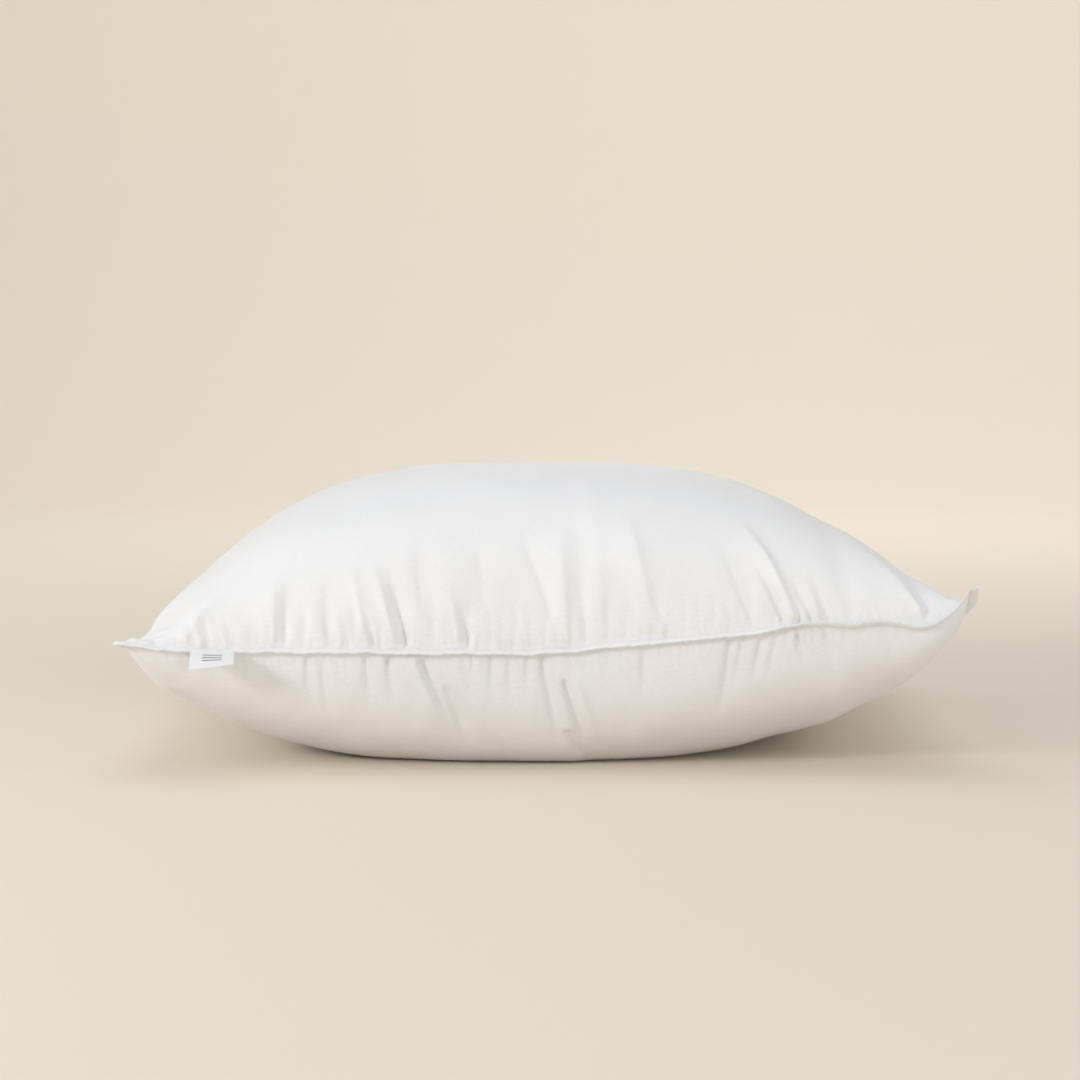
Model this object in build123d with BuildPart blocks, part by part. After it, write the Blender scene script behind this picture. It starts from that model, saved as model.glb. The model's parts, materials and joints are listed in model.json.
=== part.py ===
from build123d import *
import os
from math import cos, hypot, pi, radians, sin

# Bed pillow, millimetres, +Z up, front long side towards -Y, resting on Z = 0.
# Origin: middle of the flat underside that the pillow lies on.

# Plan of the topstitch line, which closes the filled chamber
HALF_X = 306.0           # middle to the ears, along the long side
HALF_Y = 232.0           # middle to the ears, along the short side
SIDE_BOW = 13.0          # how far a short side pulls in between its ears
LONG_BOW = 19.0          # how far a long side pulls in between its ears
BAND = 6.0               # flat stitched edge outside the topstitch line

# Cover
CLOTH = 0.9              # cover, measured straight up
BAND_GAP = 1.2           # room between the two panels inside the edge
TOP_LOFT = 126.0         # crown of the upper panel above the edge
BOTTOM_LOFT = 109.0      # belly of the lower panel below the edge
TOP_LEAN = 0.08          # upper left end is this share fuller than the middle
BOTTOM_LEAN = 0.06       # lower right end is this share fuller than the middle
EDGE_SOFTNESS = 0.05     # keeps the panels from leaving the edge vertically
CREASE_SOFTNESS = 0.03   # rounds the crease along the topstitching

# Swelling along X and along Y: how long the middle stays level, and how bluntly it ends
TOP_SPREAD_X, TOP_BLUNT_X = 2.5, 0.66
TOP_SPREAD_Y, TOP_BLUNT_Y = 2.3, 0.58
BOTTOM_SPREAD_X, BOTTOM_BLUNT_X = 2.1, 0.44
BOTTOM_SPREAD_Y, BOTTOM_BLUNT_Y = 3.2, 0.38

# Height of the edge above the surface that the pillow rests on
BACK_LEVEL = 90.0
BACK_TILT = 5.0
FRONT_LEVEL = 94.5
FRONT_RISE = 19.0        # the front edge climbs this much towards the right
RISE_FROM, RISE_TO = -0.1, 0.8
LEFT_EAR_LIFT, LEFT_EAR_FROM = 7.0, 0.55
RIGHT_EAR_LIFT, RIGHT_EAR_FROM = 13.5, 0.8

# Filling
FILL_INSET = 6.0         # filling to topstitch line, in plan
FILL_ROOM = 3.0          # filling to cover, up and down
FILL_OVERCUT = 1.0       # the upper cut reaches this far past the lower
PRISM = 400.0            # taller than the pillow

# Threads, each a thin strip that follows the edge
THREAD_WIDE = 0.7
THREAD_THICK = 0.3
THREAD_CLEAR = 0.25      # thread to cloth
NEEDLE_OUT = 3.2         # topstitch thread outside the crease
JOIN_IN = 1.2            # join seam inside the outer edge
CLOSING_IN = 1.0         # closing seam inside the outer edge
CLOSING_HALF = 0.3       # half the closing seam's share of the back edge
SEAM_HALF = 0.97         # half the share of each side that the other seams take

# Side label, a folded ribbon sewn into the front edge
LABEL_U = -0.785         # place along the front edge, -1 is the left ear
LABEL_WIDE = 32.0
LABEL_LONG = 25.0
LABEL_PLY = 0.3
LABEL_SPACE = 0.3        # between the two plies
LABEL_DROOP = 20.0       # degrees below level
LABEL_ROOT = 4.6         # sewn-in length
LABEL_ROOT_THICK = 0.4
LABEL_ROOT_DROP = 0.3    # below the middle of the edge, clear of the join seam
LABEL_SIGHT = 0.01       # half the stretch of edge that sets the label's direction
HINGE_OUT = 1.1          # bend line outside the edge

# Woven mark on the label
BAR_WIDE = 14.0
BAR_HIGH = 1.4
BAR_THICK = 0.12
BAR_PITCH = 3.6
BAR_COUNT = 3

# Sampling
LONG_ROWS = 46
SHORT_ROWS = 38
BAND_ROWS = (0.3, 0.65, 1.0)
STRIP_ROWS = 64
FACE_TOLERANCE = 0.005


def smooth_step(value, low, high):
    share = min(1.0, max(0.0, (value - low) / (high - low)))
    return share * share * (3 - 2 * share)


def beyond(value, start):
    return max(0.0, (value - start) / (1 - start)) ** 3


def edge_height(u, v):
    """Height of the edge, carried across the pillow between front and back."""
    front = FRONT_LEVEL + FRONT_RISE * smooth_step(u, RISE_FROM, RISE_TO)
    back = BACK_LEVEL + BACK_TILT * u
    share = (1 - v) / 2
    left_ear = LEFT_EAR_LIFT * beyond(-u, LEFT_EAR_FROM) * beyond(-v, LEFT_EAR_FROM)
    right_ear = RIGHT_EAR_LIFT * beyond(u, RIGHT_EAR_FROM) * beyond(-v, RIGHT_EAR_FROM)
    return front * share + back * (1 - share) + left_ear + right_ear


def swell(position, spread, bluntness):
    """Near 0 on the stitched edge, 1 in the middle, with a rounded crease between."""
    depth = 1 - abs(position) ** spread
    inside = (depth + hypot(depth, CREASE_SOFTNESS)) / 2
    low = EDGE_SOFTNESS ** bluntness
    return ((inside + EDGE_SOFTNESS) ** bluntness - low) / ((1 + EDGE_SOFTNESS) ** bluntness - low)


def crown(u, v):
    """Share of the top loft."""
    swelling = swell(u, TOP_SPREAD_X, TOP_BLUNT_X) * swell(v, TOP_SPREAD_Y, TOP_BLUNT_Y)
    return swelling * (1 - TOP_LEAN * u)


def belly(u, v):
    """Share of the bottom loft."""
    swelling = swell(u, BOTTOM_SPREAD_X, BOTTOM_BLUNT_X) * swell(v, BOTTOM_SPREAD_Y, BOTTOM_BLUNT_Y)
    return swelling * (1 + BOTTOM_LEAN * u)


def plan(u, v):
    x = u * (HALF_X - SIDE_BOW * (1 - v * v))
    y = v * (HALF_Y - LONG_BOW * (1 - u * u))
    return x, y


def stations(count, half, inset=0.0):
    """Places from -1 to 1, crowded towards the ends, with the band beyond them."""
    inner = [sin(pi * (i / (count - 1) - 0.5)) * (1 - inset / half) for i in range(count)]
    if inset:
        return inner
    band = [1 + BAND / half * share for share in BAND_ROWS]
    return [-place for place in reversed(band)] + inner + band


def surface(height, inset=0.0):
    """One smooth face over the whole plan; height is a function of (u, v)."""
    columns = stations(LONG_ROWS, HALF_X, inset)
    rows = stations(SHORT_ROWS, HALF_Y, inset)
    grid = [[Vector(*plan(u, v), height(u, v)) for v in rows] for u in columns]
    return Face.make_surface_from_array_of_points(grid, tol=FACE_TOLERANCE, min_deg=3, max_deg=5)


def top_height(u, v):
    return edge_height(u, v) + BAND_GAP / 2 + TOP_LOFT * crown(u, v)


def bottom_height(u, v):
    return edge_height(u, v) - BAND_GAP / 2 - CLOTH - BOTTOM_LOFT * belly(u, v)


def fill_top_height(u, v):
    return edge_height(u, v) + (TOP_LOFT - FILL_ROOM) * crown(u, v) - FILL_ROOM


def fill_bottom_height(u, v):
    return edge_height(u, v) - (BOTTOM_LOFT - FILL_ROOM) * belly(u, v) + FILL_ROOM / 2


def edge_point(side, place, outside, height):
    """A point on one of the four sides, a distance outside the topstitch line."""
    u, v = {
        "front": (place, -1 - outside / HALF_Y),
        "back": (place, 1 + outside / HALF_Y),
        "left": (-1 - outside / HALF_X, place),
        "right": (1 + outside / HALF_X, place),
    }[side]
    return Vector(*plan(u, v), height(u, v))


def thread_strip(side, outside, height, half_length):
    """A narrow ribbon along one side, for extruding up or down."""
    places = [half_length * sin(pi * (i / (STRIP_ROWS - 1) - 0.5)) for i in range(STRIP_ROWS)]
    near, far = (
        Edge.make_spline([edge_point(side, place, outside + shift, height) for place in places])
        for shift in (-THREAD_WIDE / 2, THREAD_WIDE / 2)
    )
    return Face.make_surface_from_curves(near, far)


def thread_ring(outside, height):
    return [
        thread_strip(side, outside, height, SEAM_HALF)
        for side in ("front", "back", "left", "right")
    ]


def over_band(u, v):
    return top_height(u, v) + CLOTH + THREAD_CLEAR


def under_band(u, v):
    return bottom_height(u, v) - THREAD_CLEAR


def between_bands(u, v):
    return edge_height(u, v) + THREAD_CLEAR


os.makedirs("parts", exist_ok=True)
UP = (0, 0, 1)
DOWN = (0, 0, -1)

# Upper cover panel, with its half of the stitched edge
with BuildPart() as top_panel:
    extrude(surface(top_height), amount=CLOTH, dir=UP)
top_panel.part.label = "top_panel"
export_step(top_panel.part, "parts/top_panel.step")

# Lower cover panel, flat where it rests
bottom_skin = surface(bottom_height)
with BuildPart() as resting_plate:
    with BuildSketch(Plane.XY):
        Rectangle(2 * HALF_X, 2 * HALF_Y)
    extrude(amount=CLOTH)
    extrude(bottom_skin, amount=PRISM, dir=UP, mode=Mode.INTERSECT)
with BuildPart() as bottom_panel:
    extrude(bottom_skin, amount=CLOTH, dir=UP)
    split(bisect_by=Plane.XY, keep=Keep.TOP)
    add(resting_plate.part)
bottom_panel.part.label = "bottom_panel"
export_step(bottom_panel.part, "parts/bottom_panel.step")

# Loose filling, kept clear of the cover all round
with BuildPart() as fill:
    extrude(surface(fill_bottom_height, FILL_INSET), amount=PRISM, dir=UP)
    extrude(surface(fill_top_height, FILL_INSET - FILL_OVERCUT), amount=PRISM, dir=DOWN, mode=Mode.INTERSECT)
    split(bisect_by=Plane.XY.offset(CLOTH + FILL_ROOM / 2), keep=Keep.TOP)
fill.part.label = "fill"
export_step(fill.part, "parts/fill.step")

# Topstitching: the upper thread lies on the band, the lower thread under it
with BuildPart() as topstitch_upper_thread:
    for face in thread_ring(NEEDLE_OUT, over_band):
        extrude(face, amount=THREAD_THICK, dir=UP)
topstitch_upper_thread.part.label = "topstitch_upper_thread"
export_step(topstitch_upper_thread.part, "parts/topstitch_upper_thread.step")

with BuildPart() as topstitch_lower_thread:
    for face in thread_ring(NEEDLE_OUT, under_band):
        extrude(face, amount=THREAD_THICK, dir=DOWN)
topstitch_lower_thread.part.label = "topstitch_lower_thread"
export_step(topstitch_lower_thread.part, "parts/topstitch_lower_thread.step")

# Hidden seam that joins the panels before they are turned, inside the outer edge
with BuildPart() as joining_thread:
    for face in thread_ring(BAND - JOIN_IN, between_bands):
        extrude(face, amount=THREAD_THICK, dir=UP)
joining_thread.part.label = "joining_thread"
export_step(joining_thread.part, "parts/joining_thread.step")

# Short seam at the back that closes the opening used for filling
with BuildPart() as closing_thread:
    extrude(
        thread_strip("back", BAND - CLOSING_IN, over_band, CLOSING_HALF),
        amount=THREAD_THICK,
        dir=UP,
    )
closing_thread.part.label = "closing_thread"
export_step(closing_thread.part, "parts/closing_thread.step")

# Side label: across the width along the edge, outwards and drooping
edge_start = edge_point("front", LABEL_U - LABEL_SIGHT, BAND, edge_height)
edge_end = edge_point("front", LABEL_U + LABEL_SIGHT, BAND, edge_height)
along = (edge_end - edge_start).normalized()
outwards = Vector(along.Y, -along.X, 0).normalized()
below = along.cross(outwards)
drooped = outwards * cos(radians(LABEL_DROOP)) + below * sin(radians(LABEL_DROOP))
label_mid = edge_point("front", LABEL_U, BAND, edge_height) + below * LABEL_ROOT_DROP
hinge_point = label_mid + outwards * HINGE_OUT
flap_plane = Plane(origin=hinge_point, x_dir=drooped, z_dir=along)
root_plane = Plane(origin=label_mid, x_dir=outwards, z_dir=along)

# The flap is one ribbon folded at its far end, two plies with a space between
LABEL_THICK = 2 * LABEL_PLY + LABEL_SPACE
with BuildPart() as side_label:
    with BuildSketch(flap_plane):
        with Locations((LABEL_LONG / 2, 0)):
            Rectangle(LABEL_LONG, LABEL_THICK)
        with Locations((LABEL_LONG, 0)):
            Circle(LABEL_THICK / 2)
        with Locations((LABEL_LONG / 2, 0)):
            Rectangle(LABEL_LONG, LABEL_SPACE, mode=Mode.SUBTRACT)
        with Locations((LABEL_LONG, 0)):
            Circle(LABEL_SPACE / 2, mode=Mode.SUBTRACT)
    extrude(amount=LABEL_WIDE / 2, both=True)
side_label.part.label = "side_label"
export_step(side_label.part, "parts/side_label.step")

# The end of the same ribbon that is caught in the seam
with BuildPart() as label_sewn_end:
    with BuildSketch(root_plane):
        with Locations((-LABEL_ROOT / 2, 0)):
            Rectangle(LABEL_ROOT, LABEL_ROOT_THICK)
    extrude(amount=LABEL_WIDE / 2, both=True)
label_sewn_end.part.label = "label_sewn_end"
export_step(label_sewn_end.part, "parts/label_sewn_end.step")

# Woven mark: plain bars raised on the label's upper ply
MARK_LEVEL = LABEL_THICK / 2 + BAR_THICK / 2
with BuildPart() as label_mark:
    with BuildSketch(flap_plane):
        with Locations((LABEL_LONG / 2, -MARK_LEVEL)):
            with GridLocations(BAR_PITCH, 1, BAR_COUNT, 1):
                Rectangle(BAR_HIGH, BAR_THICK)
    extrude(amount=BAR_WIDE / 2, both=True)
label_mark.part.label = "label_mark"
export_step(label_mark.part, "parts/label_mark.step")
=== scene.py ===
import json
import math

import bpy
import numpy as np
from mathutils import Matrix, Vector


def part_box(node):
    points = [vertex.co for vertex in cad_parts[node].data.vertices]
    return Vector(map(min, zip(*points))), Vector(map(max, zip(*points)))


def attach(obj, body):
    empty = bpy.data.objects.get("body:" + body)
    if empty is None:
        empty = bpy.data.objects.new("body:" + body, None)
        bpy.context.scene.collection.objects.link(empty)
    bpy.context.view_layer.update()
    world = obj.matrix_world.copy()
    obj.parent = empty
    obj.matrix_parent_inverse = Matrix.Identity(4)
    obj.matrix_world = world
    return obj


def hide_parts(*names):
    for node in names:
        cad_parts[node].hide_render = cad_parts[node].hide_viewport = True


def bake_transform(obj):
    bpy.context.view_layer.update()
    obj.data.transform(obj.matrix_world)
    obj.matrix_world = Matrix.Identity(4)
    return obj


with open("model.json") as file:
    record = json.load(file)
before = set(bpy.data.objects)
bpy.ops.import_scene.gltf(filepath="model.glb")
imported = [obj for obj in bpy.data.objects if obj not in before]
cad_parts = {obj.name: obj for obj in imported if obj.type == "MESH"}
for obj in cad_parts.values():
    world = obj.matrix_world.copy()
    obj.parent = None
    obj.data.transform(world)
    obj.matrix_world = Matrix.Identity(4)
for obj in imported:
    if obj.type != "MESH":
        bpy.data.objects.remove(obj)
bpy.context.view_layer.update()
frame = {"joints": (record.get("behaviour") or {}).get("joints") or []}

# Lengths in this script are millimetres, in the frame's own axes; MM turns them into metres.
MM = 0.001
SEED = 7

# ---------------------------------------------------------------- sizes from the frame

top_low, top_high = (np.array(corner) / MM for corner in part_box("top_panel"))
BAND = 6.0                                   # flat stitched edge outside the topstitching
HALF_X = (top_high[0] - top_low[0]) / 2 - BAND
HALF_Y = (top_high[1] - top_low[1]) / 2 - BAND
CROWN = top_high[2]                          # top of the pillow
SIDE_BOW = 13.0                              # how far the short sides draw in at their middles
LONG_BOW = 19.0                              # and the long sides

# ---------------------------------------------------------------- the pillow's form
# u runs from the left ear (-1) to the right ear (1), v from the front (-1) to the back (1).
# Both reach 1 on the topstitch line.


def smooth_step(value, low, high):
    """0 below low, 1 above high, with a smooth rise between."""
    share = np.clip((value - low) / (high - low), 0, 1)
    return share * share * (3 - 2 * share)


def beyond(value, start, power=3.0):
    """0 up to start, then a rise that reaches 1 where value is 1."""
    return np.maximum(0, (value - start) / (1 - start)) ** power


def bump(value, middle, width):
    return np.exp(-((value - middle) / width) ** 2)


FRONT_LOW = 93           # height of the front edge at its lowest
FRONT_RISE_RIGHT = 20
FRONT_RISE_LEFT = 1.7
# Dips and swells of the front edge: place, spread, height
FRONT_WAVES = ((0.89, 0.05, -3.0), (0.73, 0.035, -2.5), (0.58, 0.06, 1.5))
BACK_LEVEL = 90
BACK_RISE_RIGHT = 5
BACK_WAVE = 2.5
LEFT_EAR_LIFT = 7.5      # how far the ears turn up
RIGHT_EAR_LIFT = 26
REAR_EAR_LIFT = 12


def edge_height(u, v):
    """Height of the sewn edge, carried on across the inside of the pillow."""
    u, v = np.clip(u, -1, 1), np.clip(v, -1, 1)
    front = FRONT_LOW + FRONT_RISE_RIGHT * smooth_step(u, -0.1, 0.8)
    front = front + FRONT_RISE_LEFT * smooth_step(-u, 0.2, 0.6)
    for place, spread, height in FRONT_WAVES:
        front = front + height * bump(u, place, spread)
    back = BACK_LEVEL + BACK_RISE_RIGHT * u + BACK_WAVE * np.sin(4.1 * u + 0.7)
    share = ((1 - v) / 2) ** (1 + 0.4 * smooth_step(u, 0.4, 1))
    left_ear = LEFT_EAR_LIFT * beyond(-u, 0.7) * beyond(-v, 0.7)
    right_ear = RIGHT_EAR_LIFT * beyond(u, 0.87, 2.9) * beyond(-v, 0.72, 1.5)
    rear_ears = REAR_EAR_LIFT * beyond(np.abs(u), 0.82, 2) * beyond(v, 0.8, 2)
    return front * share + back * (1 - share) + left_ear + right_ear + rear_ears


SWELL_SOFTNESS = 0.02    # keeps a swell's slope finite where it meets the seam


def swell(position, power, root):
    """Fullness between two seams, 1 in the middle and 0 at each of them."""
    depth = np.maximum(0, 1 - np.abs(position) ** power)
    low = SWELL_SOFTNESS ** root
    return ((depth + SWELL_SOFTNESS) ** root - low) / ((1 + SWELL_SOFTNESS) ** root - low)


EAR_FLARE = 6.5          # how far the right front ear stands out sideways


def plan(u, v):
    """The pillow's x and y, seen from above."""
    x = u * (HALF_X - SIDE_BOW * (1 - v * v)) + EAR_FLARE * bump(v, -0.89, 0.11) * beyond(u, 0.8, 2)
    y = v * (HALF_Y - LONG_BOW * (1 - u * u))
    return x, y


# Small waves of the sewn edge: height, length divided by 2 pi, phase
EDGE_WAVES = ((0.3, 9.3, 0.8), (0.2, 5.1, 2.0), (0.3, 21.0, 0.0))
EDGE_STEP = 2.0          # the front edge climbs this much within 20 mm, and less on both sides


def edge_waver(u, v):
    """Small unevenness of the sewn edge, in height, fading away from the seams."""
    along = u * HALF_X * np.abs(v) + v * HALF_Y * np.abs(u)
    wave = sum(height * np.sin(along / length + phase) for height, length, phase in EDGE_WAVES)
    step = EDGE_STEP * smooth_step(u * HALF_X, 22, 42) - EDGE_STEP * smooth_step(u * HALF_X, -60, 120)
    near = np.clip(np.maximum(np.abs(u), np.abs(v)), 0, 1) ** 8
    return wave * near + step * smooth_step(-v, 0.3, 0.9)


def edge_level(u, v):
    return edge_height(u, v) + edge_waver(u, v)


SEAM_HALF = 0.45         # half the thickness of the edge where the topstitching presses it
TOP_LOFT = CROWN - 97.0  # rise of the top panel over the edge's level, in the middle
BELLY = 113.5            # fall of the bottom panel below it, before the floor flattens it
FLOOR_ROUNDING = 3.0     # how gently the bottom bends on to the floor
RIGHT_CORNER_HUMP = 15
LEFT_CORNER_HUMP = 10
# Where the filling has shifted: place (u, v), spread in u and v, height in mm
HUMPS = (
    (0.90, -0.55, 0.10, 0.35, 9.0),
    (-0.60, 0.15, 0.22, 0.40, 5.5),
    (-0.86, -0.60, 0.10, 0.40, -8.0),
    (-0.30, 0.20, 0.16, 0.40, 3.0),
    (0.45, 0.30, 0.25, 0.40, 3.0),
)


def ear_flatness(u, v):
    """Where the corners hold little filling; the right front one is full."""
    flat = 1 - smooth_step(u, 0, 0.5) * smooth_step(-v, 0, 0.5)
    return flat * smooth_step(np.abs(u), 0.82, 0.99) * smooth_step(np.abs(v), 0.62, 0.95)


def corner_hump(u, v, middle_u, middle_v, height):
    """Filling pushed right out into a front corner."""
    within = swell(u, 8, 0.6) * swell(v, 8, 0.6)
    return height * within * bump(u, middle_u, 0.07) * bump(v, middle_v, 0.17)


def top_form(u, v):
    """The top panel's smooth shape, without folds."""
    x, y = plan(u, v)
    rise = TOP_LOFT * swell(u, 2.25, 0.59) * swell(v, 2.75, 0.50) * (1 - 0.08 * u)
    inside = swell(u, 3, 0.5) * swell(v, 3, 0.5)
    for middle_u, middle_v, wide_u, wide_v, height in HUMPS:
        rise = rise + height * inside * bump(u, middle_u, wide_u) * bump(v, middle_v, wide_v)
    rise = rise * (1 - 0.8 * ear_flatness(u, v))
    rise = rise + corner_hump(u, v, 0.955, -0.84, RIGHT_CORNER_HUMP)
    return np.stack([x, y, edge_level(u, v) + rise + SEAM_HALF], axis=-1)


def bottom_form(u, v):
    """The bottom panel's smooth shape, without folds."""
    x, y = plan(u, v)
    rise = BELLY * swell(u, 2.07, 0.37) * swell(v, 3.4, 0.35) * (1 + 0.05 * u)
    rise = rise * (1 - 0.5 * ear_flatness(u, v) * smooth_step(v, -0.2, 0.3))
    rise = rise + corner_hump(u, v, -0.96, -0.86, LEFT_CORNER_HUMP)
    z = edge_level(u, v) - rise - SEAM_HALF
    z = (z + np.hypot(z, 2 * FLOOR_ROUNDING)) / 2    # rests on the floor without a corner
    return np.stack([x, y, z], axis=-1)


# ---------------------------------------------------------------- folds
# Each fold starts near a place along the front seam and runs away from it. Columns: place along
# the seam, place at its far end, nearest and furthest distance from the seam, half width, height.
# A negative height is a valley. Part of each fold is in the cloth before it settles, and the rest
# is laid over the settled cloth, so that it stays crisp.

TOP_FOLDS = (
    (-262, -236, 4, 60, 9, 1.0),
    (-197, -200, 2, 52, 5, 1.2),
    (-189, -191, 2, 48, 4, -1.4),
    (-159, -162, 6, 48, 4, -0.9),
    (-131, -142, 6, 62, 5, 1.2),
    (-108, -127, 2, 66, 5, 1.9),
    (-100, -116, 2, 62, 4, -1.8),
    (-90, -96, 30, 88, 6, -0.7),
    (-61, -69, 2, 46, 4, 1.3),
    (-55, -60, 2, 30, 4, -1.3),
    (-44, -50, 30, 92, 6, -0.7),
    (6, -16, 20, 96, 6, -1.1),
    (18, 12, 2, 100, 9, 1.5),
    (30, 25, 1, 115, 7, -0.8),
    (44, 40, 2, 90, 8, 0.7),
    (82, 62, 6, 120, 9, 1.3),
    (152, 134, 4, 70, 5, -1.2),
    (176, 160, 1, 46, 3, -1.9),
    (186, 150, 1, 100, 6, 2.4),
    (197, 184, 1, 36, 4, -1.5),
    (203, 194, 1, 34, 4, 1.2),
    (209, 200, 1, 34, 4, -1.2),
    (276, 236, 6, 105, 12, 2.2),
    (282, 262, 1, 30, 5, 0.8),
)

BOTTOM_FOLDS = (
    (-175, -172, 6, 34, 4, -0.9),
    (-164, -160, 12, 50, 5, -0.9),
    (-132, -128, 2, 42, 4, -1.0),
    (-116, -110, 2, 42, 4, -1.0),
    (-97, -76, 1, 56, 5, 1.4),
    (-92, -70, 1, 56, 4, -1.5),
    (-74, -54, 26, 84, 6, -1.5),
    (-39, -38, 1, 28, 4, -0.9),
    (-25, -24, 1, 28, 4, -0.9),
    (-13, -12, 1, 30, 4, -0.9),
    (-3, 12, 1, 80, 5, -1.8),
    (14, 34, 22, 90, 6, -2.4),
    (24, 44, 22, 84, 7, 1.6),
    (16, 34, 66, 112, 6, -1.4),
    (73, 74, 1, 36, 5, -0.9),
    (136, 132, 1, 58, 5, -1.3),
    (146, 141, 1, 40, 4, -1.0),
    (160, 154, 1, 36, 4, -1.0),
    (171, 166, 1, 32, 4, -0.9),
)

SOFT_HEIGHT = 0.8        # height of the part that settles, times the fold's own height
CRISP_HEIGHT = 2.1       # height of the part laid over the settled cloth, times the same
STEEPER = 0.42           # how much steeper the right flank of each ridge is
FOLD_POINT = 1.4         # 2 gives a fold a round top, 1 a sharp one


def fold_field(place, depth, folds):
    """Height that the folds give the cloth, by place along the seam and distance from it."""
    field = np.zeros_like(place)
    for near_place, far_place, start, end, width, height in folds:
        share = np.clip((depth - start) / (end - start), 0, 1)
        aside = place - near_place - (far_place - near_place) * share
        rise = smooth_step(depth, start - 2, start + 6)
        fade = 1 - smooth_step(depth, start + 0.45 * (end - start), end + 10)
        lean = STEEPER * np.sign(height) * np.sign(aside)
        spread = width * (0.6 + 0.8 * share) * (1 - lean)
        field += height * rise * fade * np.exp(-np.abs(aside / spread) ** FOLD_POINT)
    return field


def chance_folds(rng, half, pitch, height):
    """Folds for a side that no picture shows, at uneven places."""
    places = np.arange(-half * 0.9, half * 0.9, pitch)
    places = places + rng.uniform(-0.4, 0.4, len(places)) * pitch
    return [
        (place, place * rng.uniform(0.86, 0.98), 1, rng.uniform(22, 95), rng.uniform(3, 7),
         height * rng.uniform(0.3, 1.0) * rng.choice((-1, 1)))
        for place in places
    ]


def blurred(values, passes):
    """The values, each averaged with its neighbours again and again."""
    for _ in range(passes):
        wide = np.pad(values, 1, mode="edge")
        values = (
            2 * wide[1:-1, 1:-1] + wide[2:, 1:-1] + wide[:-2, 1:-1] + wide[1:-1, 2:] + wide[1:-1, :-2]
        ) / 6
    return values


# ---------------------------------------------------------------- the cloth simulation
# Each panel is a net of threads. A thread keeps its length, the filling pushes outwards, and the
# cloth resists shearing and sharp bends. Threads beside a seam have spare length, which gathers
# the cloth there. A panel settles first on a coarse net and then on a fine one.

COARSE_ROUNDS = 110
FINE_ROUNDS = 40
PUSH = 0.002             # outward step each round
CARRY = 0.9              # share of the last movement that goes on
BEND = 0.010             # how strongly the cloth straightens a bend
SHEAR = 0.12             # how fully a diagonal regains its length
PUSH_BACK = 0.8          # how fully a pressed thread regains its length
GATHER = 0.045           # spare thread along a seam
LOWER_GATHER = 0.4 * GATHER
LOOSE_LONG = 1.004       # spare thread everywhere, along the pillow and across it
LOOSE_SHORT = 1.003
UNEVENNESS = 0.45        # height of the cloth's soft unevenness before it settles
CLOTH = 0.28             # thickness
FLOOR_GAP = 0.3

# Gathers that the stitches draw up, laid over the settled cloth
PUCKER = 5.4             # pitch of the smaller gathers; the larger ones have twice this
PUCKER_PEAK = 2.8        # distance from the seam where the smaller ones stand highest
PUCKER_HEIGHT = 0.42
PUCKER_SLANT = 0.3       # sideways step for each millimetre away from the seam
PUCKER_SPELL = 60        # length of the calmer and tighter stretches of a seam
PUCKER_CORNER_LOSS = 0.85    # share of their height that they lose in the corners
LOWER_PUCKER = 0.6       # height on the lower panel, times that on the upper one
TIGHT_PUCKER = 1.2       # what the lower panel has more between the next two places
TIGHT_START = (172, 178)
TIGHT_END = (203, 212)

SEAM_REACH = 350         # an uneven line runs this far each way from a side's middle
SEAM_SAMPLES = 700


def normals_of(points):
    """The unit normal at each point of a net."""
    cross = np.cross(np.gradient(points, axis=0), np.gradient(points, axis=1))
    return cross / np.maximum(np.linalg.norm(cross, axis=-1, keepdims=True), 1e-9)


def pull_together(first, second, rest, first_free, second_free, stretched, pressed):
    """Moves pairs of points so that the gap between them comes back towards its rest length."""
    gap = second - first
    length = np.sqrt((gap * gap).sum(-1)) + 1e-9
    miss = (length - rest) / length
    miss *= np.where(miss > 0, stretched, pressed)
    move = gap * (miss / (first_free + second_free + 1e-9))[..., None]
    first += move * first_free[..., None]
    second -= move * second_free[..., None]


def thread_pass(points, free, rest, axis):
    """Restores the threads along one axis, every other link and then the rest."""
    if axis == 1:
        points, free, rest = points.swapaxes(0, 1), free.T, rest.T
    for odd in (0, 1):
        first, second = points[odd:-1:2], points[odd + 1::2]
        count = min(len(first), len(second))
        pull_together(
            first[:count], second[:count], rest[odd::2][:count],
            free[odd:-1:2][:count], free[odd + 1::2][:count], 1.0, PUSH_BACK,
        )


def bias_pass(points, free, down, up):
    """Restores the net's diagonals, in part."""
    for odd in (0, 1):
        rows = slice(odd, None, 2)
        pull_together(
            points[:-1, :-1][rows], points[1:, 1:][rows], down[rows],
            free[:-1, :-1][rows], free[1:, 1:][rows], SHEAR, SHEAR,
        )
        pull_together(
            points[:-1, 1:][rows], points[1:, :-1][rows], up[rows],
            free[:-1, 1:][rows], free[1:, :-1][rows], SHEAR, SHEAR,
        )


def curl_of(values):
    """How far each point's four neighbours lie off it, added up."""
    total = np.zeros_like(values)
    total[1:-1, 1:-1] = (
        values[2:, 1:-1] + values[:-2, 1:-1] + values[1:-1, 2:] + values[1:-1, :-2]
        - 4 * values[1:-1, 1:-1]
    )
    return total


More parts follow.
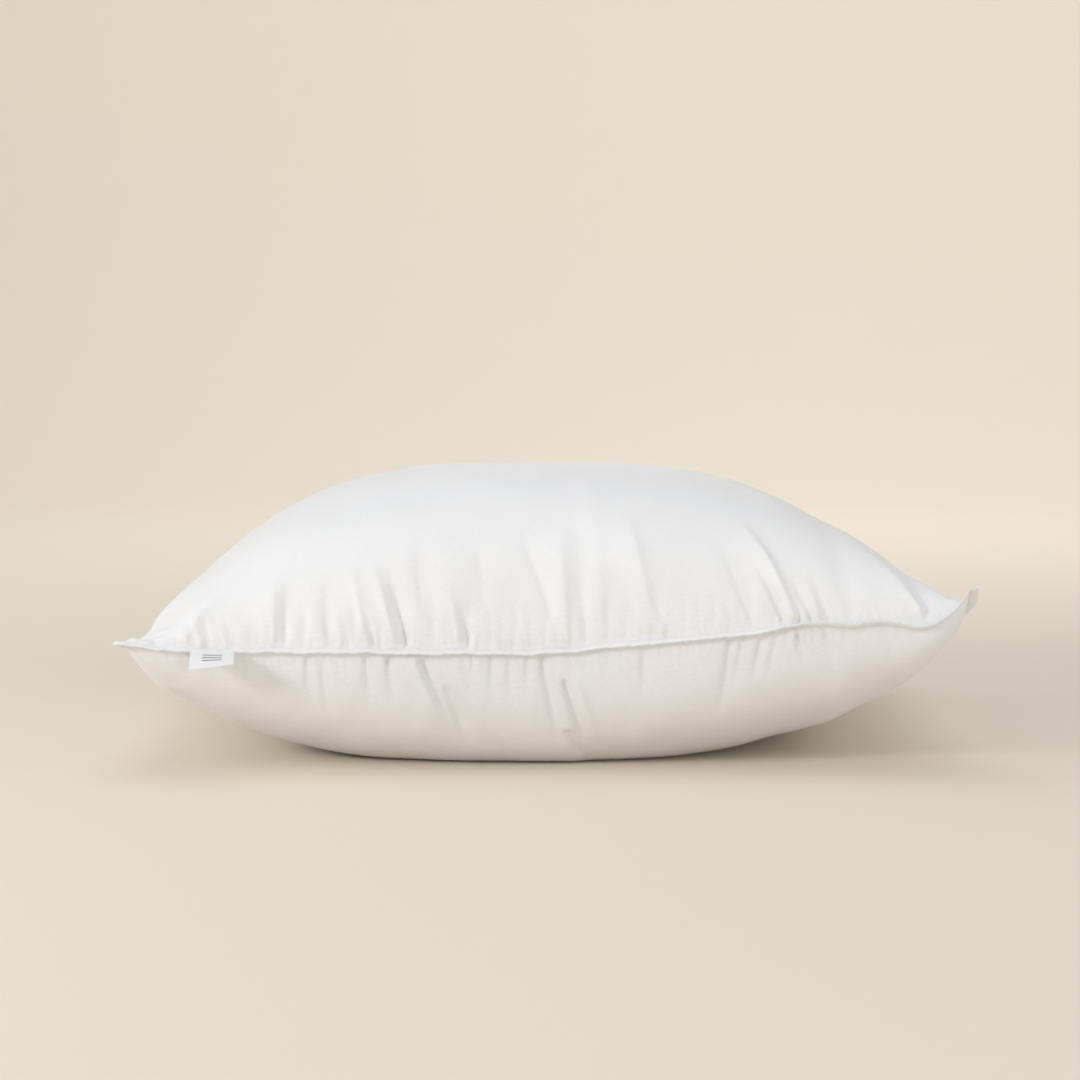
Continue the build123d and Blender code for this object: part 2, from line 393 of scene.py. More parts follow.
def settle(points, form, rests, rounds, outward, floor):
    """Runs the simulation with the seams held, and returns the settled points."""
    rest_long, rest_short = rests
    free = np.ones(points.shape[:2])
    free[[0, -1]] = 0
    free[:, [0, -1]] = 0
    spare = (
        (rest_long / np.linalg.norm(np.diff(form, axis=0), axis=-1))[:, 1:]
        + (rest_short / np.linalg.norm(np.diff(form, axis=1), axis=-1))[1:]
    ) / 2
    down = np.linalg.norm(form[1:, 1:] - form[:-1, :-1], axis=-1) * spare
    up = np.linalg.norm(form[1:, :-1] - form[:-1, 1:], axis=-1) * spare
    before = points.copy()
    for _ in range(rounds):
        drift = (points - before) * CARRY
        before = points.copy()
        points = points + (drift + normals_of(points) * (PUSH * outward)) * free[..., None]
        thread_pass(points, free, rest_long, 0)
        thread_pass(points, free, rest_short, 1)
        bias_pass(points, free, down, up)
        curl = curl_of(curl_of(points - form))
        curl[[0, 1, -2, -1]] = 0
        curl[:, [0, 1, -2, -1]] = 0
        points = points - BEND * curl
        if floor is not None:
            points[..., 2] = np.maximum(points[..., 2], floor)
    return points


def gathered_rests(form, u, v, outward):
    """Thread lengths between the net's points, with spare length along each seam."""
    gather = GATHER if outward > 0 else LOWER_GATHER
    rest_long = np.linalg.norm(np.diff(form, axis=0), axis=-1)
    rest_short = np.linalg.norm(np.diff(form, axis=1), axis=-1)
    rest_long *= LOOSE_LONG + gather * np.abs(v[:-1]) ** 24
    rest_short *= LOOSE_SHORT + gather * np.abs(u[:, :-1]) ** 30
    return rest_long, rest_short


def thinned_lines(lines):
    """Every other line of a net, keeping both edges."""
    kept = lines[::2]
    return kept if kept[-1] == lines[-1] else np.append(kept, lines[-1])


def resampled(values, old_u, old_v, new_u, new_v):
    """A net's values on other lines, linear between its own."""
    flat = values.reshape(len(old_u), len(old_v), -1)
    out = np.empty((len(new_u), len(new_v), flat.shape[-1]))
    for k in range(flat.shape[-1]):
        part = np.stack([np.interp(new_u, old_u, column) for column in flat[..., k].T], axis=1)
        out[..., k] = np.stack([np.interp(new_v, old_v, row) for row in part])
    return out


def graded(half, inner_step, edge_step, edge_zone):
    """Places from -1 to 1, closer together near both ends."""
    at, line = 0.0, [0.0]
    while at < half:
        share = min(1.0, max(0.0, (half - at - edge_zone) / edge_zone))
        at += edge_step + (inner_step - edge_step) * share
        line.append(at)
    half_line = np.array(line) / line[-1]
    return np.concatenate([-half_line[:0:-1], half_line])


def depths_from_sides(form):
    """Distance from the front, back, left and right seam, measured over the cloth."""
    depths = []
    for axis in (1, 0):
        steps = np.linalg.norm(np.diff(form, axis=axis), axis=-1)
        run = np.cumsum(steps, axis=axis)
        start = np.zeros_like(run[:, :1] if axis == 1 else run[:1])
        from_start = np.concatenate([start, run], axis=axis)
        whole = from_start[:, -1:] if axis == 1 else from_start[-1:]
        depths += [from_start, whole - from_start]
    return depths


def start_shape(form, u, v, folds, outward, rng):
    """The form with its folds' soft part and a slight unevenness, before it settles."""
    front, back, left, right = depths_from_sides(form)
    field = fold_field(u * HALF_X, front, folds)
    field += fold_field(u * HALF_X, back, chance_folds(rng, HALF_X, pitch=17, height=1.7))
    for side in (left, right):
        field += fold_field(v * HALF_Y, side, chance_folds(rng, HALF_Y, pitch=15, height=1.6))
    noise = blurred(rng.normal(size=u.shape), 9)
    noise *= UNEVENNESS / noise.std()
    quiet = (1 - np.abs(u) ** 40) * (1 - np.abs(v) ** 40)
    lift = (SOFT_HEIGHT * field + noise) * quiet * outward
    return form + normals_of(form) * lift[..., None]


def uneven_line(rng, pitch):
    """Irregular ups and downs along a seam, about one pitch apart, as (places, values)."""
    places = np.linspace(-SEAM_REACH, SEAM_REACH, SEAM_SAMPLES)
    spread = pitch / 5 / (places[1] - places[0])
    taps = np.arange(-int(6 * spread), int(6 * spread) + 1)
    narrow, wide = (np.exp(-(taps / reach) ** 2 / 2) for reach in (spread, 1.8 * spread))
    filtered = narrow / narrow.sum() - wide / wide.sum()
    values = np.convolve(rng.normal(size=SEAM_SAMPLES), filtered, mode="same")
    return places, values / values.std()


def creases(form, u, v, folds, outward, rng):
    """The folds' crisp part, and the small gathers that the stitches draw up along every seam."""
    sides = depths_from_sides(form)
    lift = CRISP_HEIGHT * fold_field(u * HALF_X, sides[0], folds)
    corner = smooth_step(np.abs(u) * np.abs(v), 0.78, 0.95)
    for depth, place in zip(sides, (u * HALF_X, u * HALF_X, v * HALF_Y, v * HALF_Y)):
        place = place + PUCKER_SLANT * outward * depth
        strength = 0.75 + 0.4 * np.interp(place, *uneven_line(rng, PUCKER_SPELL))
        strength = np.clip(strength, 0.1, 1.7) * (1 - PUCKER_CORNER_LOSS * corner)
        if outward < 0:
            tight = TIGHT_PUCKER * smooth_step(place, *TIGHT_START)
            tight = tight * smooth_step(-place, -TIGHT_END[1], -TIGHT_END[0])
            strength = LOWER_PUCKER * strength + tight
        for pitch, height in ((PUCKER, 1.0), (2.0 * PUCKER, 1.5)):
            reach = depth / (PUCKER_PEAK * pitch / PUCKER)
            waves = np.interp(place, *uneven_line(rng, pitch))
            lift += PUCKER_HEIGHT * height * strength * waves * reach * np.exp(1 - reach)
    return normals_of(form) * (lift * outward)[..., None]


def sewn_panel(form_of, lines_u, lines_v, folds, outward, seed, floor=None):
    """The finished cloth of one panel inside the topstitching."""
    rng = np.random.default_rng(seed)
    coarse_u, coarse_v = thinned_lines(lines_u), thinned_lines(lines_v)
    u, v = np.meshgrid(coarse_u, coarse_v, indexing="ij")
    form = form_of(u, v)
    points = start_shape(form, u, v, folds, outward, rng)
    rests = gathered_rests(form, u, v, outward)
    points = settle(points, form, rests, COARSE_ROUNDS, outward, floor)
    off = resampled(points - form, coarse_u, coarse_v, lines_u, lines_v)
    u, v = np.meshgrid(lines_u, lines_v, indexing="ij")
    form = form_of(u, v)
    points = form + off
    rests = gathered_rests(form, u, v, outward)
    points = settle(points, form, rests, FINE_ROUNDS, outward, floor)
    points = points + creases(form, u, v, folds, outward, rng)
    if floor is not None:
        points[..., 2] = np.maximum(points[..., 2], floor)
    return points


LINES_U = graded(HALF_X, inner_step=1.35, edge_step=1.0, edge_zone=20)
LINES_V = graded(HALF_Y, inner_step=2.6, edge_step=0.9, edge_zone=24)

# ---------------------------------------------------------------- the stitched edge
# Distance outside the topstitching, and height of the upper cloth's face above the middle
BAND_PROFILE = (
    (0.0, 0.45), (0.7, 0.30), (1.4, 0.85), (2.3, 1.15), (3.4, 1.20), (4.5, 1.10),
    (5.3, 0.88), (5.8, 0.48), (6.0, 0.08),
)
STITCH_OUT = 0.75        # the topstitches lie in the groove, this far outside its inner edge
STITCH_PITCH = 2.0
STITCH_LONG = 1.45
THREAD_RADIUS = 0.26
THREAD_SIDES = 6


def band_tilt(u, v):
    """Rise of the edge band for each millimetre outwards."""
    front = -0.30 + 0.14 * smooth_step(-u, 0.5, 0.8) + 0.95 * smooth_step(u, 0.5, 0.66)
    front = front - 0.25 * smooth_step(u, 0.8, 0.95)
    rear = -0.12 + 0.16 * np.sin(5.1 * u + 1.3) + 0.1 * np.sin(11 * v)
    return front + (rear - front) * smooth_step(v, -0.98, -0.6)


def rounded_corner(u, v):
    """Pulls the square corners of the band in to a round tip."""
    past_u = np.maximum(0, (np.abs(u) - 1) * HALF_X)
    past_v = np.maximum(0, (np.abs(v) - 1) * HALF_Y)
    scale = np.maximum(past_u, past_v) / np.maximum(np.hypot(past_u, past_v), 1e-9)
    new_u = np.where(past_u > 0, np.sign(u) * (1 + past_u * scale / HALF_X), u)
    new_v = np.where(past_v > 0, np.sign(v) * (1 + past_v * scale / HALF_Y), v)
    return new_u, new_v


def distance_outside(u, v):
    """Distance outside the topstitching."""
    return np.hypot(
        np.maximum(0, (np.abs(u) - 1) * HALF_X), np.maximum(0, (np.abs(v) - 1) * HALF_Y)
    )


def band_ripple(u, v):
    """Fine waves of the band, in height, about as long as its stitches."""
    on_long_side = np.abs(v) * HALF_Y > np.abs(u) * HALF_X - HALF_X + HALF_Y
    along = np.where(on_long_side, u * HALF_X, v * HALF_Y)
    return 0.16 * np.sin(along / 1.05 + 1.4 * np.sin(along / 17)) + 0.14 * np.sin(along / 2.3 + 1)


def band_middle(u, v):
    """The middle of the band's thickness, at places outside the topstitching."""
    outside = distance_outside(u, v)
    x, y = plan(u, v)
    z = edge_level(np.clip(u, -1, 1), np.clip(v, -1, 1)) + band_tilt(u, v) * outside
    z = z + band_ripple(u, v) * np.clip(outside / 3, 0, 1)
    return np.stack([x, y, z], axis=-1)


def band_face(u, v, outward):
    """The upper or lower cloth of the band."""
    out, high = np.array(BAND_PROFILE).T
    points = band_middle(u, v)
    points[..., 2] += outward * np.interp(distance_outside(u, v), out, high)
    return points


# ---------------------------------------------------------------- mesh helpers

def new_object(name, points, faces, material):
    mesh = bpy.data.meshes.new(name)
    mesh.from_pydata((np.asarray(points).reshape(-1, 3) * MM).tolist(), [], [tuple(f) for f in faces])
    mesh.update()
    mesh.polygons.foreach_set("use_smooth", [True] * len(mesh.polygons))
    obj = bpy.data.objects.new(name, mesh)
    bpy.context.scene.collection.objects.link(obj)
    obj.data.materials.append(material)
    return obj


def grid_faces(rows, columns, flip=False):
    index = np.arange(rows * columns).reshape(rows, columns)
    corners = [index[:-1, :-1], index[1:, :-1], index[1:, 1:], index[:-1, 1:]]
    if flip:
        corners = corners[::-1]
    return np.stack([c.ravel() for c in corners], axis=1)


def lay_out(obj, flat):
    """Gives the mesh its flat cloth coordinates, in metres, for the weave."""
    layer = obj.data.uv_layers.new(name="cloth")
    vertex = np.zeros(len(obj.data.loops), np.int32)
    obj.data.loops.foreach_get("vertex_index", vertex)
    layer.data.foreach_set("uv", (np.asarray(flat).reshape(-1, 2)[vertex] * MM).ravel())


def thicken(obj, thickness, offset=-1.0):
    solid = obj.modifiers.new("thickness", "SOLIDIFY")
    solid.thickness = thickness * MM
    solid.offset = offset
    solid.use_even_offset = False
    solid.use_rim = True


# ---------------------------------------------------------------- materials

def node_material(name):
    material = bpy.data.materials.new(name)
    material.use_nodes = True
    return material, material.node_tree, material.node_tree.nodes["Principled BSDF"]


def cotton(name, light, shade, weave_pitch=0.00042, weave_depth=0.35, sheen=0.2, roughness=0.52):
    """White woven cotton: fine threads both ways, slubs, and slight changes of tone."""
    material, tree, shader = node_material(name)
    add, link = tree.nodes.new, tree.links.new
    cloth = add("ShaderNodeUVMap")
    cloth.uv_map = "cloth"
    threads = []
    for axis, share in (("X", 1.0), ("Y", 0.55)):
        wave = add("ShaderNodeTexWave")
        wave.wave_type = "BANDS"
        wave.bands_direction = axis
        # the waves come out about three times weave_pitch long, so that they show in a picture
        wave.inputs["Scale"].default_value = 0.314 / weave_pitch / 3.14159 * share
        wave.inputs["Distortion"].default_value = 0.6
        wave.inputs["Detail"].default_value = 1.0
        wave.inputs["Detail Scale"].default_value = 2.0
        link(cloth.outputs["UV"], wave.inputs["Vector"])
        threads.append(wave.outputs["Fac"])
    weave = add("ShaderNodeMath")
    weave.operation = "ADD"
    link(threads[0], weave.inputs[0])
    link(threads[1], weave.inputs[1])
    slub_map = add("ShaderNodeMapping")
    slub_map.inputs["Scale"].default_value = (220, 1600, 1)
    link(cloth.outputs["UV"], slub_map.inputs["Vector"])
    slub = add("ShaderNodeTexNoise")
    slub.inputs["Scale"].default_value = 1.0
    slub.inputs["Detail"].default_value = 2.0
    link(slub_map.outputs["Vector"], slub.inputs["Vector"])
    soft = add("ShaderNodeTexNoise")
    soft.inputs["Scale"].default_value = 9.0
    soft.inputs["Detail"].default_value = 3.0
    place = add("ShaderNodeTexCoord")
    link(place.outputs["Object"], soft.inputs["Vector"])
    tone = add("ShaderNodeMix")
    tone.data_type = "RGBA"
    tone.inputs[6].default_value = (*shade, 1)
    tone.inputs[7].default_value = (*light, 1)
    ramp = add("ShaderNodeMapRange")
    ramp.inputs["From Min"].default_value = 0.35
    ramp.inputs["From Max"].default_value = 0.65
    link(soft.outputs["Fac"], ramp.inputs["Value"])
    link(ramp.outputs["Result"], tone.inputs[0])
    speck = add("ShaderNodeMix")
    speck.data_type = "RGBA"
    speck.blend_type = "MULTIPLY"
    speck.inputs[0].default_value = 0.10
    link(tone.outputs[2], speck.inputs[6])
    link(slub.outputs["Fac"], speck.inputs[7])
    link(speck.outputs[2], shader.inputs["Base Color"])
    fine = add("ShaderNodeBump")
    fine.inputs["Strength"].default_value = weave_depth
    fine.inputs["Distance"].default_value = 0.00006
    link(weave.outputs[0], fine.inputs["Height"])
    coarse = add("ShaderNodeBump")
    coarse.inputs["Strength"].default_value = 0.25
    coarse.inputs["Distance"].default_value = 0.00012
    link(slub.outputs["Fac"], coarse.inputs["Height"])
    link(fine.outputs["Normal"], coarse.inputs["Normal"])
    link(coarse.outputs["Normal"], shader.inputs["Normal"])
    shader.inputs["Roughness"].default_value = roughness
    shader.inputs["Sheen Weight"].default_value = sheen
    shader.inputs["Sheen Roughness"].default_value = 0.45
    shader.inputs["Specular IOR Level"].default_value = 0.35
    return material


def noisy(name, light, shade, scale, roughness, sheen, bump, bump_scale=400):
    """Two tones mixed by soft noise, with fine relief."""
    material, tree, shader = node_material(name)
    add, link = tree.nodes.new, tree.links.new
    place = add("ShaderNodeTexCoord")
    noise = add("ShaderNodeTexNoise")
    noise.inputs["Scale"].default_value = scale
    noise.inputs["Detail"].default_value = 5.0
    link(place.outputs["Object"], noise.inputs["Vector"])
    tone = add("ShaderNodeMix")
    tone.data_type = "RGBA"
    tone.inputs[6].default_value = (*shade, 1)
    tone.inputs[7].default_value = (*light, 1)
    link(noise.outputs["Fac"], tone.inputs[0])
    link(tone.outputs[2], shader.inputs["Base Color"])
    fine = add("ShaderNodeTexNoise")
    fine.inputs["Scale"].default_value = bump_scale
    fine.inputs["Detail"].default_value = 3.0
    link(place.outputs["Object"], fine.inputs["Vector"])
    relief = add("ShaderNodeBump")
    relief.inputs["Strength"].default_value = bump
    relief.inputs["Distance"].default_value = 0.0002
    link(fine.outputs["Fac"], relief.inputs["Height"])
    link(relief.outputs["Normal"], shader.inputs["Normal"])
    shader.inputs["Roughness"].default_value = roughness
    shader.inputs["Sheen Weight"].default_value = sheen
    return material


COVER_COTTON = cotton("cover_cotton", light=(0.88, 0.885, 0.90), shade=(0.85, 0.855, 0.87))
LABEL_SATIN = cotton(
    "label_satin", light=(0.88, 0.88, 0.885), shade=(0.84, 0.84, 0.85),
    weave_pitch=0.0003, weave_depth=0.25, sheen=0.1, roughness=0.38,
)
# The thread is darker than the cloth. That darkness is painted shade, standing in for the shadows in
# the stitch holes. The noise between its two tones is random tone.
THREAD_WITH_PAINTED_SHADE = noisy(
    "thread_with_painted_shade", light=(0.88, 0.88, 0.88), shade=(0.80, 0.80, 0.80), scale=900,
    roughness=0.5, sheen=0.3, bump=0.5, bump_scale=3000,
)
FILLING = noisy(
    "filling_fibre", light=(0.86, 0.85, 0.83), shade=(0.74, 0.73, 0.70), scale=60,
    roughness=0.95, sheen=0.4, bump=1.0, bump_scale=180,
)
MARK_YARN = noisy(
    "mark_yarn", light=(0.30, 0.30, 0.33), shade=(0.22, 0.22, 0.25), scale=700,
    roughness=0.6, sheen=0.2, bump=0.5, bump_scale=2500,
)

# ---------------------------------------------------------------- cover panels


def cover_panel(name, node, form_of, folds, outward, seed, floor=None):
    """One panel of the cover with its edge band. Returns its cloth inside the topstitching."""
    inner = sewn_panel(form_of, LINES_U, LINES_V, folds, outward, seed, floor)
    out = np.array([distance for distance, _ in BAND_PROFILE[1:]])
    lines_u = np.concatenate([-1 - out[::-1] / HALF_X, LINES_U, 1 + out / HALF_X])
    lines_v = np.concatenate([-1 - out[::-1] / HALF_Y, LINES_V, 1 + out / HALF_Y])
    u, v = np.meshgrid(lines_u, lines_v, indexing="ij")
    flat = np.stack([u * HALF_X, v * HALF_Y], axis=-1)
    points = band_face(*rounded_corner(u, v), outward)
    edge = len(out)
    points[edge:-edge, edge:-edge] = inner
    panel = new_object(name, points, grid_faces(*u.shape, flip=outward < 0), COVER_COTTON)
    lay_out(panel, flat)
    thicken(panel, CLOTH)
    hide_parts(node)
    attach(panel, "pillow")
    return inner


top_cloth = cover_panel("cover_top", "top_panel", top_form, TOP_FOLDS, 1.0, SEED)
bottom_cloth = cover_panel(
    "cover_bottom", "bottom_panel", bottom_form, BOTTOM_FOLDS, -1.0, SEED + 1, FLOOR_GAP
)

# ---------------------------------------------------------------- stitches


def side_points(side, places, outside):
    """Points along one side of the edge: places from -1 to 1, a distance outside the topstitching."""
    out = np.full_like(places, 1.0)
    if side in ("front", "back"):
        sign = -1.0 if side == "front" else 1.0
        u, v = places, sign * (out + outside / HALF_Y)
    else:
        sign = -1.0 if side == "left" else 1.0
        u, v = sign * (out + outside / HALF_X), places
    return band_middle(u, v)


def stitch_run(side, outside, height, dip, reach):
    """Centre lines of the stitches on one side, each dipping into the cloth at both ends."""
    half = HALF_X if side in ("front", "back") else HALF_Y
    count = int(2 * half * reach / STITCH_PITCH)
    middles = (np.arange(count) + 0.5) / count * 2 * reach - reach
    steps = np.array([-0.5, -0.34, 0.0, 0.34, 0.5]) * STITCH_LONG / half
    lift = np.array([-dip, 0.0, 0.06, 0.0, -dip])
    lines = side_points(side, middles[:, None] + steps[None, :], outside)
    lines[..., 2] += height + lift
    return lines


def stitch_mesh(name, lines):
    """Round threads along many short centre lines, as one mesh."""
    along = np.gradient(lines, axis=1)
    along /= np.linalg.norm(along, axis=-1, keepdims=True)
    across = np.cross(along, np.array([0.0, 0.0, 1.0]))
    across /= np.linalg.norm(across, axis=-1, keepdims=True)
    upward = np.cross(across, along)
    turn = np.arange(THREAD_SIDES) / THREAD_SIDES * 2 * math.pi
    ring = across[:, :, None] * np.cos(turn)[:, None] + upward[:, :, None] * np.sin(turn)[:, None]
    points = lines[:, :, None] + ring * THREAD_RADIUS
    count, steps = lines.shape[:2]
    index = np.arange(count * steps * THREAD_SIDES).reshape(count, steps, THREAD_SIDES)
    turned = np.roll(index, -1, axis=2)
    corners = [index[:, :-1], turned[:, :-1], turned[:, 1:], index[:, 1:]]
    walls = np.stack(corners, axis=-1).reshape(-1, 4)
    caps = [tuple(row[::-1]) for row in index[:, 0]] + [tuple(row) for row in index[:, -1]]
    return new_object(name, points, [tuple(face) for face in walls] + caps, THREAD_WITH_PAINTED_SHADE)


SIDES = ("front", "back", "left", "right")
GROOVE = float(np.interp(STITCH_OUT, *np.array(BAND_PROFILE).T))
# Piece, its node, sides, distance outside the topstitching, height of the thread's middle, how
# far its ends dip, and the share of each side's length that is stitched
ROWS_OF_STITCHES = (
    ("stitches_upper", "topstitch_upper_thread", SIDES, STITCH_OUT, GROOVE + 0.1, 0.35, 0.985),
    ("stitches_lower", "topstitch_lower_thread", SIDES, STITCH_OUT, -GROOVE - 0.1, -0.35, 0.985),
    ("stitches_joining", "joining_thread", SIDES, BAND - 1.3, 0.0, 0.1, 0.96),
    ("stitches_closing", "closing_thread", ("back",), BAND - 1.6, 0.98, 0.35, 0.3),
)
for name, node, sides, outside, height, dip, reach in ROWS_OF_STITCHES:
    lines = np.concatenate([stitch_run(side, outside, height, dip, reach) for side in sides])
    stitches = stitch_mesh(name, lines)
    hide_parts(node)
    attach(stitches, "pillow")

# ---------------------------------------------------------------- filling


FILLING_STEP = 5         # every fifth line of the cloth's net, from a few lines inside the seams
FILLING_START = 6
FILLING_DEPTH = 5.5      # below the cloth
LUMPS = 0.9
LUMPS_MOST = 2.5


def filling():
    """A lumpy mass just inside the cloth, closed round its rim."""
    kept = slice(FILLING_START, -FILLING_START, FILLING_STEP)
    rng = np.random.default_rng(SEED + 5)
    layers = []
    for cloth, outward in ((top_cloth, 1.0), (bottom_cloth, -1.0)):
        net = cloth[kept, kept].copy()
        lumps = blurred(rng.normal(size=net.shape[:2]), 2)
        lumps *= LUMPS / lumps.std()
        smooth_net = np.stack([blurred(net[..., k], 3) for k in range(3)], axis=-1)
        inwards = -normals_of(smooth_net) * outward
        depth = FILLING_DEPTH + np.clip(lumps, -LUMPS_MOST, LUMPS_MOST)
        layers.append(smooth_net + inwards * depth[..., None])
    upper, lower = layers
    upper[..., 2] = np.maximum(upper[..., 2], lower[..., 2] + 1.0)
    rows, columns = upper.shape[:2]
    below = rows * columns                   # a lower point's number is this much higher
    faces = [tuple(f) for f in grid_faces(rows, columns)]
    faces += [tuple(f + below) for f in grid_faces(rows, columns, flip=True)]
    index = np.arange(rows * columns).reshape(rows, columns)
    rim = np.concatenate([index[:-1, 0], index[-1, :-1], index[:0:-1, -1], index[0, :0:-1]])
    after = np.roll(rim, -1)
    faces += [(a, a + below, b + below, b) for a, b in zip(rim, after)]
    points = np.concatenate([upper.reshape(-1, 3), lower.reshape(-1, 3)])
    mass = new_object("filling_mass", points, faces, FILLING)
    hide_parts("fill")
    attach(mass, "pillow")


filling()

# ---------------------------------------------------------------- side label

hinge = next(joint for joint in frame["joints"] if joint["name"] == "label_flap")
BEND_AT = np.array(hinge["pos_m"]) / MM
ALONG = np.array(hinge["axis"])
OUTWARDS = np.array([ALONG[1], -ALONG[0], 0.0]) / math.hypot(ALONG[0], ALONG[1])
BELOW = np.cross(ALONG, OUTWARDS)
DROOP = math.radians(20)
EXTRA_DROOP = 0.08                           # more of it towards the free end, in radians
LABEL_WIDE = 32.0
LABEL_LONG = 25.3
LABEL_PLY = 0.28
LABEL_SPACE = 0.32                           # between the two plies
LABEL_IN = 4.5                               # length caught in the seam
LABEL_END = 0.3                              # length taken up by the turn at the free end
LABEL_WAVE = 0.5
LABEL_CURL = 1.3
LABEL_TWIST = -0.22                          # in radians, from one side to the other


def label_point(across, out, height):
    """A place on the label: across its width, out from the bend line, above its middle."""
    out, height, across = np.broadcast_arrays(out, height, across)
    share = np.clip(out / LABEL_LONG, 0, 1)
    wave = LABEL_WAVE * np.sin(across / LABEL_WIDE * 4.2 + 0.6) * share ** 1.5
    curl = LABEL_CURL * (across / LABEL_WIDE * 2) ** 2 * share ** 2
    twist = LABEL_TWIST * across / LABEL_WIDE * smooth_step(out, 2.0, LABEL_LONG)
    turn = DROOP * smooth_step(out, -3.0, 4.0) + EXTRA_DROOP * smooth_step(out, 5.0, 26.0) + twist
    # the middle line is straight where it is sewn, then bends down over the first few millimetres
    run = out * np.cos(turn * 0.9)
    drop = out * np.sin(turn * 0.9) * (out > 0)
    lift = height + wave + curl * 0.6
    base = BEND_AT + np.zeros(out.shape + (3,))
    return (
        base + ALONG * across[..., None] + OUTWARDS * (run + lift * np.sin(turn))[..., None]
        + BELOW * (drop - lift * np.cos(turn))[..., None]
    )


def label():
    """One ribbon, folded in two at its free end, with both ends caught in the seam."""
    across = np.linspace(-LABEL_WIDE / 2, LABEL_WIDE / 2, 41)
    gap = (LABEL_SPACE + LABEL_PLY) / 2
    straight = np.concatenate([
        np.linspace(-LABEL_IN, 0, 7), np.linspace(0.9, LABEL_LONG - LABEL_END, 26)
    ])
    spacing = gap * (0.45 + 0.55 * smooth_step(straight, 0, 6))
    bend = np.linspace(math.pi / 2, -math.pi / 2, 9)[1:-1]
    outs = np.concatenate([straight, LABEL_LONG - LABEL_END + gap * np.cos(bend), straight[::-1]])
    highs = np.concatenate([spacing, gap * np.sin(bend), -spacing[::-1]])
    lengths = np.concatenate([[0], np.cumsum(np.hypot(np.diff(outs), np.diff(highs)))])
    points = label_point(across[None, :], outs[:, None], highs[:, None])
    ribbon = new_object("label_ribbon", points, grid_faces(*points.shape[:2], flip=True), LABEL_SATIN)
    flat = np.stack(np.broadcast_arrays(across[None, :], lengths[:, None]), axis=-1)
    lay_out(ribbon, flat)
    thicken(ribbon, LABEL_PLY, offset=0.0)
    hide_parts("side_label", "label_sewn_end")
    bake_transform(ribbon)


BAR_ROWS = (-3.6, 0.0, 3.6)                  # from the label's middle
BAR_HALF_LONG = 7.0
BAR_HALF_WIDE = 0.7


def label_mark():
    """Three plain woven bars on the upper ply."""
    points, faces = [], []
    top = (LABEL_SPACE + LABEL_PLY) / 2 + LABEL_PLY / 2
    for row in BAR_ROWS:
        across = np.linspace(-BAR_HALF_LONG, BAR_HALF_LONG, 29)
        out = np.linspace(-BAR_HALF_WIDE, BAR_HALF_WIDE, 5) + row + LABEL_LONG / 2
        height = top + np.array([-0.05, 0.05, 0.07, 0.05, -0.05])
        bar = label_point(across[:, None], out[None, :], height[None, :])
        first = len(points)
        points.extend(bar.reshape(-1, 3))
        faces.extend(tuple(f + first) for f in grid_faces(*bar.shape[:2]))
    mark = new_object("label_bars", points, faces, MARK_YARN)
    thicken(mark, 0.08)
    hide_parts("label_mark")
    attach(mark, "label")


label()
label_mark()

# ---------------------------------------------------------------- stage, light and camera
# Places and sizes from here on are in metres, and the lights' power is in watts.

FLOOR_RADIUS = 2.8
CURVE_OUT = 2.4          # the floor's curve up into the wall
CURVE_UP = 1.8
WALL_TOP = (5.2, 2.2)    # distance from the middle, height


def bowl():
    """A pale floor that curves up all round, so that every view has the same plain backdrop."""
    profile = [(0.0, 0.0), (1.0, 0.0), (1.9, 0.0), (FLOOR_RADIUS, 0.0)]
    turn = np.linspace(0, math.pi / 2, 17)[1:]
    profile += [
        (FLOOR_RADIUS + CURVE_OUT * math.sin(a), CURVE_UP - CURVE_UP * math.cos(a)) for a in turn
    ]
    profile += [WALL_TOP]
    spokes = 96
    points, faces = [], []
    for radius, height in profile:
        for k in range(spokes):
            angle = 2 * math.pi * k / spokes
            points.append((radius * math.cos(angle), radius * math.sin(angle), height))
    for ring in range(len(profile) - 1):
        for k in range(spokes):
            a, b = ring * spokes + k, ring * spokes + (k + 1) % spokes
            faces.append((a, a + spokes, b + spokes, b)[::-1])
    floor = new_object("backdrop", np.array(points) / MM, faces, BACKDROP)


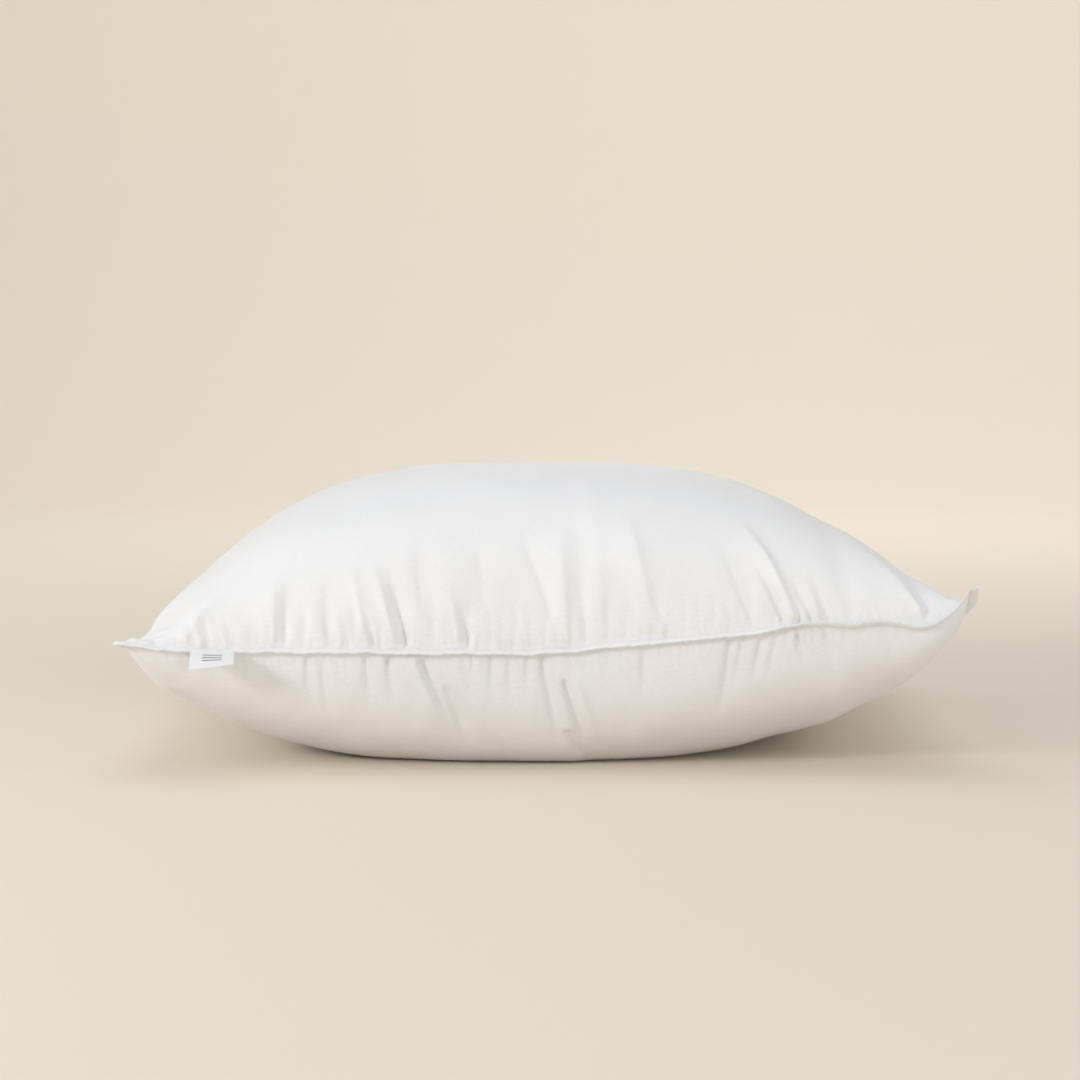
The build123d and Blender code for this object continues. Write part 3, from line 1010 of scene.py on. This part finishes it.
def area_light(name, place, target, size, power, colour):
    data = bpy.data.lights.new(name, "AREA")
    data.shape = "DISK"
    data.size = size
    data.energy = power
    data.color = colour
    lamp = bpy.data.objects.new(name, data)
    lamp.location = place
    lamp.rotation_mode = "QUATERNION"
    lamp.rotation_quaternion = (Vector(target) - Vector(place)).to_track_quat("-Z", "Y")
    bpy.context.scene.collection.objects.link(lamp)


BACKDROP = noisy(
    "backdrop_paint", light=(0.82, 0.745, 0.635), shade=(0.81, 0.735, 0.625), scale=2.0,
    roughness=0.9, sheen=0.0, bump=0.0,
)
bowl()

CENTRE = (0.0, 0.0, 0.1)
WHITE = (1.0, 1.0, 1.0)
COOL = (0.98, 0.99, 1.0)
COOLER = (0.95, 0.975, 1.0)
WARM = (1.0, 0.99, 0.98)
# Name, place, target, size, power, colour
LIGHTS = (
    ("key", (-1.8, -1.6, 0.9), CENTRE, 0.5, 18, WHITE),
    ("left", (-2.2, 0.2, 0.7), CENTRE, 1.0, 9, COOL),
    ("right", (1.9, -0.9, 1.0), CENTRE, 1.2, 5, COOL),
    ("overhead", (0.0, -0.1, 2.6), CENTRE, 2.0, 10, COOL),
    ("front", (0.9, -2.6, 0.18), CENTRE, 1.6, 15, COOLER),
    ("wall_wash", (0.4, 1.6, 2.6), (0.6, 5, 1), 2.0, 48, WARM),
)
for light in LIGHTS:
    area_light(*light)

world = bpy.data.worlds.new("studio")
world.use_nodes = True
surroundings = world.node_tree.nodes["Background"]
surroundings.inputs["Color"].default_value = (0.965, 0.98, 1.0, 1)
surroundings.inputs["Strength"].default_value = 0.58
bpy.context.scene.world = world
bpy.context.scene.view_settings.view_transform = "Standard"

CAMERA_PLACE = (-0.0025, -2.08, 0.330)
LOOKS_DOWN = 4.76        # degrees
LENS = 85.3              # mm, on a sensor 36 mm wide

camera_data = bpy.data.cameras.new("camera")
camera_data.sensor_width = 36.0
camera_data.lens = LENS
camera = bpy.data.objects.new("camera", camera_data)
camera.location = CAMERA_PLACE
camera.rotation_euler = (math.radians(90 - LOOKS_DOWN), 0, 0)
bpy.context.scene.collection.objects.link(camera)
bpy.context.scene.camera = camera
